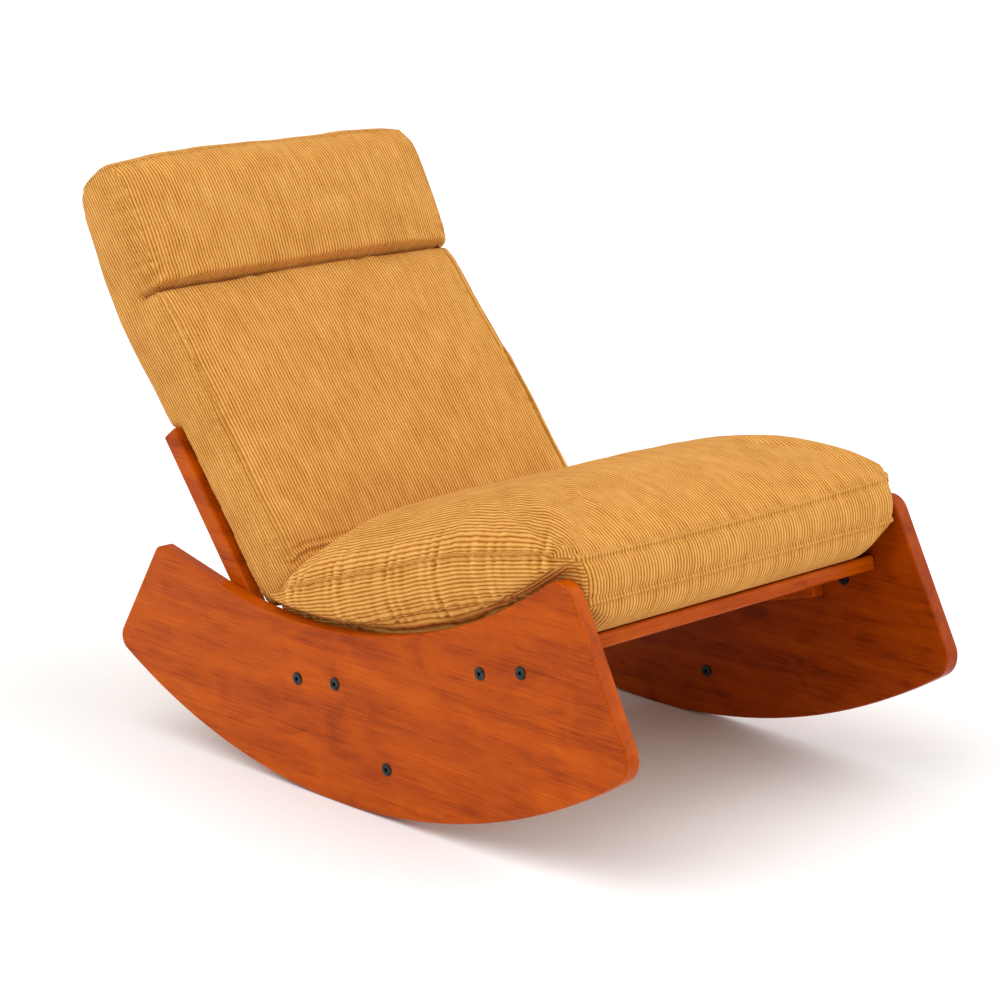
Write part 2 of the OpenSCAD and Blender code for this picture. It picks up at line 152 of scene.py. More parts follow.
# sizes of the figure in mm, its share of each pattern, and the depth of the open pores
plywood = {"dark": "#842F00", "mid": "#AB4400", "light": "#C45800",
           "poreWidth": 1.4, "poreLength": 62.5, "cloudSize": 46.0, "bandWidth": 36.0, "bandLength": 454.55,
           "poreShare": 0.44, "bandShare": 0.34, "cloudShare": 0.24, "poreDepth": 0.3}
# the far rocker's copy is the same plywood with darker tones: painted shade for the shade under the seat between
# the rockers
farPlywoodPaintedShade = dict(plywood, dark="#622000", mid="#923600", light="#A84600")


def lacqueredPlywood(name, grain, offset, dyeAndShade=plywood):
    # dyed plywood under satin lacquer: fine pores along the grain, soft darker clouds, a low gloss
    material, tree, shader = newMaterial(name, Roughness=0.28, **{"Specular IOR Level": 0.09})
    place = addNode(tree, "TexCoord").outputs["Object"]
    # x runs along the grain from here on
    along = addNode(tree, "Mapping", {"vector_type": "POINT"},
                    {"Vector": place, "Rotation": grain, "Location": (offset, offset * 0.7, offset * 0.3)})
    perPore, perCloud, perBand = (1000 / dyeAndShade[size] for size in ("poreWidth", "cloudSize", "bandWidth"))
    alongPore, alongBand = 1000 / dyeAndShade["poreLength"], 1000 / dyeAndShade["bandLength"]
    patterns = {}
    for pattern, scale, look in (
            ("pore", (alongPore, perPore, perPore), {"Detail": 5.0, "Roughness": 0.68}),
            ("cloud", (perCloud * 0.6, perCloud, perCloud), {"Detail": 5.0, "Distortion": 1.2}),
            ("band", (alongBand, perBand, perBand), {"Detail": 6.0, "Distortion": 0.9})):
        stretched = addNode(tree, "Mapping", inputs={"Vector": along, "Scale": scale})
        patterns[pattern] = addNode(tree, "TexNoise", inputs={"Vector": stretched, "Scale": 1.0, **look})
    mix = addNode(tree, "Math", {"operation": "MULTIPLY"}, {0: patterns["cloud"], 1: dyeAndShade["cloudShare"]})
    mix = addNode(tree, "Math", {"operation": "MULTIPLY_ADD"}, {0: patterns["band"], 1: dyeAndShade["bandShare"], 2: mix})
    mix = addNode(tree, "Math", {"operation": "MULTIPLY_ADD"}, {0: patterns["pore"], 1: dyeAndShade["poreShare"], 2: mix})
    # with the far rocker's copy these tones are painted shade
    face = addNode(tree, "ValToRGB", inputs={"Fac": mix},
                   steps=[(0.37, dyeAndShade["dark"]), (0.49, dyeAndShade["mid"]), (0.64, dyeAndShade["light"])])
    tree.links.new(face.outputs[0], shader.inputs["Base Color"])
    bump = addNode(tree, "Bump", inputs={"Height": patterns["pore"], "Strength": 0.1,
                                         "Distance": dyeAndShade["poreDepth"] * mm})
    tree.links.new(bump.outputs[0], shader.inputs["Normal"])
    return material


birch = {"dark": "#B98F57", "mid": "#D6B27C", "light": "#E5C998", "streakWidth": 3.3333, "streakLength": 111.11,
         "depth": 0.4}


def rawPlywood(name, grain):
    # unfinished birch: pale and dry, with soft growth streaks
    material, tree, shader = newMaterial(name, Roughness=0.62)
    place = addNode(tree, "TexCoord").outputs["Object"]
    turned = addNode(tree, "Mapping", inputs={"Vector": place, "Rotation": grain, "Scale": (1, 1, 1)})
    across, along = 1000 / birch["streakWidth"], 1000 / birch["streakLength"]
    stretched = addNode(tree, "Mapping", inputs={"Vector": turned, "Scale": (along, across, across)})
    streak = addNode(tree, "TexNoise", inputs={"Vector": stretched, "Scale": 1.0, "Detail": 4.0})
    tone = addNode(tree, "ValToRGB", inputs={"Fac": streak},
                   steps=[(0.3, birch["dark"]), (0.55, birch["mid"]), (0.75, birch["light"])])
    tree.links.new(tone.outputs[0], shader.inputs["Base Color"])
    bump = addNode(tree, "Bump", inputs={"Height": streak, "Strength": 0.2, "Distance": birch["depth"] * mm})
    tree.links.new(bump.outputs[0], shader.inputs["Normal"])
    return material


blackSteel = {"tones": ("#2A2F31", "#3D4447"), "roughness": 0.38, "grit": 0.3, "cloud": 6.25, "depth": 0.1}
zinc = {"tones": ("#A9ADAF", "#C9CDCE"), "roughness": 0.32, "grit": 0.25, "cloud": 6.25, "depth": 0.1}


def machinedMetal(name, metal):
    # the tone varies over the part as handling and plating do; the grit breaks up the highlight
    material, tree, shader = newMaterial(name, Metallic=1.0, Roughness=metal["roughness"])
    place = addNode(tree, "TexCoord").outputs["Object"]
    cloud = addNode(tree, "TexNoise", inputs={"Vector": place, "Scale": 1000 / metal["cloud"], "Detail": 3.0})
    tone = addNode(tree, "ValToRGB", inputs={"Fac": cloud},
                   steps=[(0.35, metal["tones"][0]), (0.65, metal["tones"][1])])
    tree.links.new(tone.outputs[0], shader.inputs["Base Color"])
    grain = addNode(tree, "TexNoise", inputs={"Vector": place, "Scale": 1000 / metal["grit"], "Detail": 2.0})
    bump = addNode(tree, "Bump", inputs={"Height": grain, "Strength": 0.15, "Distance": metal["depth"] * mm})
    tree.links.new(bump.outputs[0], shader.inputs["Normal"])
    return material


nylon = {"dark": "#141415", "light": "#232324", "grain": 0.7143, "depth": 0.1}


def mouldedNylon():
    # black moulded nylon: low sheen with a fine spark-eroded texture
    material, tree, shader = newMaterial("moulded black nylon", Roughness=0.48)
    place = addNode(tree, "TexCoord").outputs["Object"]
    grain = addNode(tree, "TexNoise", inputs={"Vector": place, "Scale": 1000 / nylon["grain"], "Detail": 2.0})
    tone = addNode(tree, "ValToRGB", inputs={"Fac": grain}, steps=[(0.3, nylon["dark"]), (0.7, nylon["light"])])
    tree.links.new(tone.outputs[0], shader.inputs["Base Color"])
    bump = addNode(tree, "Bump", inputs={"Height": grain, "Strength": 0.25, "Distance": nylon["depth"] * mm})
    tree.links.new(bump.outputs[0], shader.inputs["Normal"])
    return material


tape = {"dark": "#8A5A1C", "light": "#C48B3C", "rib": 2.0, "depth": 0.4}


def zipTape():
    # woven polyester tape, ribbed across as its weave and closed teeth are
    material, tree, shader = newMaterial("woven polyester zip tape", Roughness=0.8)
    place = addNode(tree, "TexCoord").outputs["Object"]
    # a band texture repeats 20 times per unit of its scale
    weave = addNode(tree, "TexWave", {"wave_type": "BANDS", "bands_direction": "X"},
                    {"Vector": place, "Scale": 1000 / tape["rib"] / 20, "Distortion": 0.3}).outputs["Fac"]
    tone = addNode(tree, "ValToRGB", inputs={"Fac": weave}, steps=[(0.2, tape["dark"]), (0.8, tape["light"])])
    tree.links.new(tone.outputs[0], shader.inputs["Base Color"])
    bump = addNode(tree, "Bump", inputs={"Height": weave, "Strength": 0.4, "Distance": tape["depth"] * mm})
    tree.links.new(bump.outputs[0], shader.inputs["Normal"])
    return material


quarter = math.pi / 2
finishes = {
    "panelLeft": lacqueredPlywood("lacquered plywood, near rocker", (0, 0, -quarter), 1.3),
    # the far rocker gets the darker copy, which is painted shade
    "panelRightPaintedShade": lacqueredPlywood("lacquered plywood, far rocker, painted shade", (0, 0, -quarter), 4.1, farPlywoodPaintedShade),
    "strut": lacqueredPlywood("lacquered plywood, back strut", (0, math.radians(50), -quarter), 2.2),
    "rail": lacqueredPlywood("lacquered plywood, rails", (0, 0, 0), 3.4),
    "slat": rawPlywood("raw birch plywood", (0, 0, 0)),
    "board": rawPlywood("raw plywood board", (0, 0, -quarter)),
    "bolt": machinedMetal("blackened steel", blackSteel),
    "zinc": machinedMetal("zinc-plated steel", zinc),
    "nylon": mouldedNylon(),
    "tape": zipTape(),
}


def paint(node, material):
    mesh = nodes[node].data
    if not mesh.materials:
        mesh.materials.append(material)
    for slot in nodes[node].material_slots:
        slot.material = material


nodeFinish = {
    "tape": ["seat_zip", "back_zip"],
    "zinc": ["seat_zip_slider", "back_zip_slider", "front_rail_screws", "back_screws", "board_tee_nuts",
             "frame_inserts_left", "frame_inserts_right"],
    "nylon": ["slat_holders_left", "slat_holders_right"],
    "board": ["back_board"],
    "slat": ["front_rail_dowels", "stretcher_dowels", "back_rail_dowels"] + [f"seat_slat_{n}" for n in range(1, 6)],
    "bolt": ["panel_bolts_left", "panel_bolts_right", "sleeve_nuts_left", "sleeve_nuts_right"],
}
for finish, painted in nodeFinish.items():
    for node in painted:
        paint(node, finishes[finish])

# wood pieces: the machined solids with their arrises eased

arris = {"side_panel_left": 3.0, "side_panel_right": 3.0, "side_frame_left": 3.5, "side_frame_right": 3.5,
         "front_rail": 4.0, "rear_stretcher": 2.5, "back_rail_lower": 2.5, "back_rail_upper": 2.5}
woodFinish = {"side_panel_left": "panelLeft", "side_panel_right": "panelRightPaintedShade", "side_frame_left": "strut",
              "side_frame_right": "strut", "front_rail": "rail", "rear_stretcher": "rail",
              "back_rail_lower": "rail", "back_rail_upper": "rail"}


def easeArrises(node, radius):
    bm = bmesh.new()
    bm.from_mesh(nodes[node].data)
    bmesh.ops.remove_doubles(bm, verts=bm.verts[:], dist=0.01 * mm)
    bmesh.ops.dissolve_limit(bm, angle_limit=math.radians(0.5), verts=bm.verts[:], edges=bm.edges[:])
    sharp = [e for e in bm.edges if len(e.link_faces) == 2 and e.calc_face_angle(0) > math.radians(40)]
    bmesh.ops.bevel(bm, geom=sharp, offset=radius * mm, offset_type="OFFSET", segments=4, profile=0.5,
                    affect="EDGES", clamp_overlap=False, material=-1)
    for face in bm.faces:
        face.smooth = True
    piece = newObject(node + "_wood", bm)
    weighted = piece.modifiers.new("even shading", "WEIGHTED_NORMAL")
    weighted.keep_sharp = True
    piece.data.materials.append(finishes[woodFinish[node]])
    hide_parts(node)
    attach(piece, "base")
    return piece


for node, radius in arris.items():
    easeArrises(node, radius)
print("wood pieces eased")

# corduroy

# sizes in mm; each share is how far a pattern moves the tone between groove and ridge
corduroyCloth = {"groove": "#8A4E12", "body": "#CC8A3A", "ridge": "#EDB668", "sheen": "#F0C078",
                 "stitch": "#5A3410", "seamShade": "#8A5018", "midTone": 0.46,
                 "waleSpacing": 5.1, "waleDepth": 1.0, "waleWander": 3.4, "wanderSize": 38.46,
                 "fleck": (1.3, 3.94), "worn": (11.11, 38.46), "nap": 70.0,
                 "waleShare": 0.66, "foldPaintedLightShare": 0.8, "fleckShare": 0.5, "wornShare": 0.42, "napShare": 0.34,
                 "seamReach": 12.0, "stitchLength": 4.6, "stitchWidth": 1.5}
# shade beside a seam, by its share of seamReach: the seam, its lit edge and the dip past it
seamShades = [(0.0, "#202020"), (0.14, "#181818"), (0.27, "#8A8A8A"), (0.42, "#2A2A2A"), (0.7, "#000000")]


def corduroy(name):
    # cut-pile cotton cord: rounded wales with dark valleys, a dry face and a little velvet sheen
    cloth = corduroyCloth
    material, tree, shader = newMaterial(name, Roughness=0.95, **{
        "Specular IOR Level": 0.15, "Sheen Weight": 0.1, "Sheen Roughness": 0.4,
        "Sheen Tint": toLinear(cloth["sheen"])})
    cord = addNode(tree, "UVMap", {"uv_map": "wales"}).outputs["UV"]
    place = addNode(tree, "TexCoord").outputs["Object"]
    # wales run along the map's second axis and wander a little
    wander = addNode(tree, "TexNoise", inputs={"Vector": place, "Scale": 1000 / cloth["wanderSize"], "Detail": 3.0})
    across = addNode(tree, "SeparateXYZ", inputs={"Vector": cord}).outputs["X"]
    drift = addNode(tree, "Math", {"operation": "MULTIPLY_ADD"},
                    {0: wander, 1: cloth["waleWander"] * mm, 2: across})
    turn = addNode(tree, "Math", {"operation": "MULTIPLY"},
                   {0: drift, 1: 2 * math.pi / (cloth["waleSpacing"] * mm)})
    wave = addNode(tree, "Math", {"operation": "COSINE"}, {0: turn})
    lifted = addNode(tree, "Math", {"operation": "MULTIPLY_ADD"}, {0: wave, 1: 0.5, 2: 0.5})
    ridge = addNode(tree, "Math", {"operation": "POWER"}, {0: lifted, 1: 0.6})
    blotches = {}
    for pattern in ("fleck", "worn"):
        wide, long = cloth[pattern]
        stretched = addNode(tree, "Mapping", inputs={"Vector": cord, "Scale": (1000 / wide, 1000 / long, 1)})
        blotches[pattern] = addNode(tree, "TexNoise", inputs={"Vector": stretched, "Scale": 1.0, "Detail": 4.0})
    nap = addNode(tree, "TexNoise", inputs={"Vector": place, "Scale": 1000 / cloth["nap"], "Detail": 5.0,
                                            "Roughness": 0.6})
    # painted light and shade on the puckers: the pile is painted lighter on their tops and darker between them
    folds = addNode(tree, "UVMap", {"uv_map": "folds"})
    fold = addNode(tree, "SeparateXYZ", inputs={"Vector": folds}).outputs["X"]
    patterns = {"waleShare": ridge, "foldPaintedLightShare": fold, "fleckShare": blotches["fleck"],
                "wornShare": blotches["worn"], "napShare": nap}
    tone = cloth["midTone"] - 0.5 * sum(cloth[share] for share in patterns)
    for share, pattern in patterns.items():
        tone = addNode(tree, "Math", {"operation": "MULTIPLY_ADD"}, {0: pattern, 1: cloth[share], 2: tone})
    colour = addNode(tree, "ValToRGB", inputs={"Fac": tone},
                     steps=[(0.05, cloth["groove"]), (0.5, cloth["body"]), (1.0, cloth["ridge"])])
    # the seam map holds the distance from a seam and the run along it, which is -1 where no stitch shows
    seamMap = addNode(tree, "UVMap", {"uv_map": "seams"})
    seamParts = addNode(tree, "SeparateXYZ", inputs={"Vector": seamMap})
    fromSeam, alongSeam = seamParts.outputs["X"], seamParts.outputs["Y"]
    away = addNode(tree, "Math", {"operation": "MULTIPLY"}, {0: fromSeam, 1: 1 / (cloth["seamReach"] * mm)})
    shade = addNode(tree, "ValToRGB", inputs={"Fac": away}, steps=seamShades)
    shaded = addNode(tree, "Mix", {"data_type": "RGBA"},
                     {"Factor": shade, 6: colour, 7: toLinear(cloth["seamShade"])})
    run = addNode(tree, "Math", {"operation": "MULTIPLY"},
                  {0: alongSeam, 1: 2 * math.pi / (cloth["stitchLength"] * mm)})
    thread = addNode(tree, "Math", {"operation": "SINE"}, {0: run})
    onThread = addNode(tree, "Math", {"operation": "GREATER_THAN"}, {0: thread, 1: 0.1})
    topStitched = addNode(tree, "Math", {"operation": "GREATER_THAN"}, {0: alongSeam, 1: 0.0})
    near = addNode(tree, "Math", {"operation": "LESS_THAN"}, {0: fromSeam, 1: cloth["stitchWidth"] * mm})
    stitched = addNode(tree, "Math", {"operation": "MULTIPLY"}, {0: onThread, 1: topStitched})
    stitched = addNode(tree, "Math", {"operation": "MULTIPLY"}, {0: stitched, 1: near})
    sewn = addNode(tree, "Mix", {"data_type": "RGBA"},
                   {"Factor": stitched, 6: shaded.outputs[2], 7: toLinear(cloth["stitch"])})
    tree.links.new(sewn.outputs[2], shader.inputs["Base Color"])
    height = addNode(tree, "Math", {"operation": "MULTIPLY_ADD"}, {0: blotches["fleck"], 1: 0.4, 2: ridge})
    bump = addNode(tree, "Bump", inputs={"Height": height, "Strength": 0.8, "Distance": cloth["waleDepth"] * mm})
    tree.links.new(bump.outputs[0], shader.inputs["Normal"])
    return material


cordMaterial = corduroy("gold cotton corduroy")


def reach(node, direction):
    points = np.array([v.co for v in nodes[node].data.vertices]) @ np.array(direction)
    return points.min(), points.max()


class LocalAxes:
    # a cushion's own width, length and thickness axes, with the corner that its sizes are taken from
    def __init__(self, corner, length, rise):
        self.corner, self.length, self.rise = np.array(corner), np.array(length), np.array(rise)

    def toWorld(self, x, along, up):
        points = self.corner + np.outer(along * mm, self.length) + np.outer(up * mm, self.rise)
        points[:, 0] += x * mm
        return points

    def toLocal(self, points):
        rel = points - self.corner
        return points[:, 0] / mm, rel @ self.length / mm, rel @ self.rise / mm


deckTilt, backLean = math.radians(14), math.radians(39.5)
deckLength = (0, math.cos(deckTilt), -math.sin(deckTilt))
deckRise = (0, math.sin(deckTilt), math.cos(deckTilt))
backLength = (0, math.sin(backLean), math.cos(backLean))
backRise = (0, -math.cos(backLean), math.sin(backLean))
noseLength, backFoot, zipDepth = 57 * mm, 27 * mm, 70.3 * mm
deckCorner = (np.array(deckLength) * (reach("seat_cushion", deckLength)[0] + noseLength)
              + np.array(deckRise) * (reach("front_rail", deckRise)[1]))
backCorner = (np.array(backLength) * (reach("back_cushion", backLength)[0] + backFoot)
              + np.array(backRise) * (reach("back_zip", backRise)[1] + zipDepth))
deckAxes = LocalAxes(deckCorner, deckLength, deckRise)
backAxes = LocalAxes(backCorner, backLength, backRise)


def smooth(t):
    t = np.clip(t, 0, 1)
    return t * t * (3 - 2 * t)


def blockPoints(cuts):
    # a cube with a fine grid on each face, and its points from -1 to 1
    bm = bmesh.new()
    bmesh.ops.create_cube(bm, size=2)
    bmesh.ops.subdivide_edges(bm, edges=bm.edges[:], cuts=cuts, use_grid_fill=True)
    return bm, np.array([v.co for v in bm.verts])


def roundedPlan(p, q, halfWidth, halfLength, radius):
    # pulls the corners of a rectangle in to a radius, with its inside following
    x, y = p * halfWidth, q * halfLength
    scale = np.maximum(np.abs(p), np.abs(q)) + 1e-9
    ex, ey = np.abs(x) / scale, np.abs(y) / scale              # where the ray leaves the rectangle
    cx, cy = halfWidth - radius, halfLength - radius
    length = np.hypot(ex, ey)
    ux, uy = ex / length, ey / length
    along = ux * cx + uy * cy
    inside = np.maximum(along ** 2 - (cx ** 2 + cy ** 2 - radius ** 2), 0)
    corner = (ex > cx) & (ey > cy)
    ratio = np.where(corner, (along + np.sqrt(inside)) / length, 1.0)
    return x * np.minimum(ratio, 1), y * np.minimum(ratio, 1)


def setPoints(mesh, points):
    mesh.vertices.foreach_set("co", points.astype(np.float32).ravel())
    mesh.update()


def getPoints(mesh):
    points = np.zeros(len(mesh.vertices) * 3, np.float32)
    mesh.vertices.foreach_get("co", points)
    return points.reshape(-1, 3).astype(float)


def getNormals(mesh):
    normals = np.zeros(len(mesh.vertices) * 3, np.float32)
    mesh.vertex_normals.foreach_get("vector", normals)
    return normals.reshape(-1, 3).astype(float)


def applied(piece):
    mesh = bpy.data.meshes.new_from_object(piece.evaluated_get(bpy.context.evaluated_depsgraph_get()))
    piece.modifiers.clear()
    old = piece.data
    piece.data = mesh
    bpy.data.meshes.remove(old)


def nearestOn(lines, points):
    # distance from each point to the nearest seam, where along it, and which one
    tree = kdtree.KDTree(sum(len(line) for line in lines))
    facts = []
    for number, line in enumerate(lines):
        steps = np.r_[0, np.cumsum(np.linalg.norm(np.diff(line, axis=0), axis=1))]
        for spot, run in zip(line, steps):
            tree.insert(spot, len(facts))
            facts.append((run, number))
    tree.balance()
    found = [tree.find(p)[1:] for p in points]
    facts = np.array(facts)
    index = np.array([f[0] for f in found])
    return np.array([f[1] for f in found]), facts[index, 0], facts[index, 1].astype(int)


# wavelengths in mm with their weights, and the slower wave that makes the gathers come and go
gathers = {"waves": ((16.0, 0.42), (21.0, 0.42), (31.0, 0.3)), "swell": 97.0}
shellCloth = {"stiffness": 25, "bending": 2}


def wobble(run, seed):
    # an uneven wave for puckers, about -1 to 1, with gaps and runs as real gathers have
    rng = np.random.default_rng(seed)
    total = np.zeros_like(run)
    for wavelength, weight in gathers["waves"]:
        total += weight * np.sin(run / mm / wavelength * 2 * math.pi + rng.uniform(0, 6.28))
    swell = 0.6 + 0.4 * np.sin(run / mm / gathers["swell"] * 2 * math.pi + rng.uniform(0, 6.28))
    return total * swell


def seamProfile(d, settings):
    # the welt on a seam and the dip beside it
    welt = settings["ridge"] * np.exp(-(d / settings["ridgeWidth"]) ** 2)
    return welt - settings["groove"] * np.exp(-((d - settings["grooveAt"]) / settings["grooveWidth"]) ** 2)


def lumps(x, length, swells, dents):
    # slow unevenness of a filled cushion: broad swells, and smaller dents that run at a slant
    high, wide, startWide, tall, startTall = swells
    deep, a, b, c, d = dents
    broad = high * np.sin(x / wide + startWide) * np.sin(length / tall + startTall)
    return broad + deep * np.sin(x / a + length / b) * np.sin(length / c - x / d)


def stuff(piece, settings, pinned):
    # blows the sewn shell up between its seams
    group = piece.vertex_groups.new(name="held")
    group.add([int(i) for i in np.flatnonzero(pinned)], 1.0, "REPLACE")
    rest = getPoints(piece.data)
    cloth = piece.modifiers.new("stuffing", "CLOTH")
    cloth.settings.use_pressure = True
    cloth.settings.uniform_pressure_force = settings["pressure"]
    cloth.settings.effector_weights.gravity = 0
    cloth.settings.vertex_group_mass = "held"
    cloth.settings.tension_stiffness = cloth.settings.compression_stiffness = shellCloth["stiffness"]
    cloth.settings.bending_stiffness = shellCloth["bending"]
    cloth.collision_settings.use_self_collision = False
    cloth.point_cache.frame_start, cloth.point_cache.frame_end = 1, settings["frames"]
    for number in range(1, settings["frames"] + 1):
        scene.frame_set(number)
    applied(piece)
    scene.frame_set(1)
    move = getPoints(piece.data) - rest
    size = np.linalg.norm(move, axis=1, keepdims=True) + 1e-9
    cap = settings["cap"] * mm
    print(piece.name, "moved up to", round(float(size.max()) / mm, 1), "mm")
    setPoints(piece.data, rest + move / size * cap * np.tanh(size / cap))


def remeshed(piece, voxel):
    shell = piece.modifiers.new("even shell", "REMESH")
    shell.mode = "VOXEL"
    shell.voxel_size = voxel * mm
    applied(piece)


def subdivided(piece, rest):
    # one level finer; gives where each point was before the stuffing
    layer = piece.data.attributes.new("rest", "FLOAT_VECTOR", "POINT")
    layer.data.foreach_set("vector", rest.astype(np.float32).ravel())
    finer = piece.modifiers.new("finer", "SUBSURF")
    finer.levels = finer.render_levels = 1
    applied(piece)
    layer = piece.data.attributes["rest"]
    rest = np.zeros(len(piece.data.vertices) * 3, np.float32)
    layer.data.foreach_get("vector", rest)
    piece.data.attributes.remove(layer)
    return rest.reshape(-1, 3).astype(float)


def writeMap(piece, name, u, v):
    layer = piece.data.uv_layers.new(name=name)
    layer.data.foreach_set("uv", np.column_stack([u, v]).astype(np.float32).ravel())


def loopFacts(mesh):
    corners = np.zeros(len(mesh.loops), int)
    mesh.loops.foreach_get("vertex_index", corners)
    totals = np.zeros(len(mesh.polygons), int)
    mesh.polygons.foreach_get("loop_total", totals)
    return corners, np.repeat(np.arange(len(totals)), totals), totals


def faceMean(values, corners, faceOfCorner, totals):
    return np.bincount(faceOfCorner, values[corners], len(totals)) / totals


# seat cushion: boxed, with an upper and a lower seam, sagging into the rockers' dish

# mm in the deck's axes; a seam is its places along the deck and its heights above it
seat = {"halfWidth": 313.0, "front": -50.0, "rear": 516.0, "cornerRadius": 40.0, "rearRadius": 9.0,
        "tip": 19.0, "tipFrom": (250.0, 440.0),
        "upperSeam": ([-57, -6, 154, 303, 480, 519], [101, 112, 119, 107, 94, 88]),
        "lowerSeam": ([-57, 0, 78, 142, 230, 321, 402, 450, 498, 528],
                      [48, 53, 59, 57, 52, 44, 36, 39, 44, 48]),
        "frontDip": 5.0, "frontDrop": 4.0, "crown": 58.0, "sideRoll": 72.0, "frontRoll": 137.0,
        "rearRoll": 120.0, "underFront": 62.0, "underRear": 34.0, "bottom": 0.8,
        "innerHalf": 293.6, "outside": 25.0, "dish": (789.0, 67.0, 232.0), "bulge": 8.0,
        "voxel": 5.5, "pressure": 4.0, "frames": 20, "cap": 12.0,
        "ridge": 2.2, "ridgeWidth": 2.6, "groove": 1.6, "grooveAt": 6.5, "grooveWidth": 3.0,
        "pucker": 3.2, "puckerReach": 22.0, "frontPuckers": 0.3,
        "swells": (1.6, 61, 1.1, 73, 0.4), "dents": (0.9, 23, 41, 29, 37),
        "zipClear": 518.6, "boxingWales": 58.0}


def roll(distance, radius):
    # a quarter round, from 0 at the seam to 1 at the radius
    return np.sqrt(np.clip(1 - (1 - np.clip(distance / radius, 0, 1)) ** 2, 0, 1))


# length over the crown from the middle to each place across, so that wales keep their spacing on the roll
acrossPlaces = np.linspace(0, seat["halfWidth"] + 6, 640)


def rolledAcross():
    rise = seat["crown"] * roll(seat["halfWidth"] - acrossPlaces, seat["sideRoll"])
    return np.r_[0, np.cumsum(np.hypot(np.diff(acrossPlaces), np.diff(rise)))]


def dishArc(along):
    # height above the deck of the rockers' dished top edge, which is an arc in the side view
    radius, depth, low = seat["dish"]
    heights = np.linspace(0, 170, 341)
    y = deckAxes.corner[1] / mm + along[:, None] * deckLength[1] + heights * deckRise[1]
    z = deckAxes.corner[2] / mm + along[:, None] * deckLength[2] + heights * deckRise[2]
    above = (z - (low + radius)) ** 2 + (y - depth) ** 2 < radius ** 2
    return heights[np.argmax(above, axis=1)]


arcPlaces = np.linspace(-80, 560, 161)
arcHeights = dishArc(arcPlaces)


def seatShape(p, q, w):
    middle = (seat["front"] + seat["rear"]) / 2
    x, along = roundedPlan(p, q, seat["halfWidth"], (seat["rear"] - seat["front"]) / 2,
                           np.where(q < 0, seat["cornerRadius"], seat["rearRadius"]))
    along = along + middle
    tipSide, tipRear = seat["tipFrom"]
    along = along + seat["tip"] * smooth((np.abs(x) - tipSide) / 40) * smooth((along - tipRear) / 76)
    frontness = smooth((60 - along) / 90)
    upper = np.interp(along, *seat["upperSeam"]) - seat["frontDip"] * frontness * np.cos(p * math.pi / 2)
    lower = np.interp(along, *seat["lowerSeam"]) - seat["frontDrop"] * frontness
    # crown: it rolls up from each seam on a quarter round and is nearly flat in the middle
    fromSide, fromFront, fromRear = seat["halfWidth"] - np.abs(x), along - seat["front"], seat["rear"] - along
    crown = seat["crown"] * roll(fromSide, seat["sideRoll"]) * roll(fromFront, seat["frontRoll"])
    crown = crown * roll(fromRear, seat["rearRoll"]) * (1 + 0.1 * np.cos(p * math.pi / 2))
    under = smooth(fromSide / (30 + 40 * frontness)) * roll(fromFront, seat["underFront"])
    under = under * roll(fromRear, seat["underRear"])
    height = (w + 1) / 2
    up = lower + (upper - lower) * height
    up = np.where(w > 0.9999, upper + crown, up)
    up = np.where(w < -0.9999, lower + (seat["bottom"] - lower) * under, up)
    # the boxing pulls in at the seams and swells between them
    swell = seat["bulge"] * np.sin(height * math.pi)
    side = np.abs(w) < 0.9999
    x = np.where(side & (np.abs(p) > 0.999), x + np.sign(x) * swell, x)
    along = np.where(side & (q < -0.999), along - swell, along)
    return x, along, up


def clearOfRockers(x, along, up, gap=1.2):
    # nothing of the cushion may enter the rockers: below their dish it stays between them
    arc = np.interp(along, arcPlaces, arcHeights)
    limit = seat["innerHalf"] + seat["outside"] * smooth((up - arc - gap) / 20)
    return np.clip(x, -limit, limit)


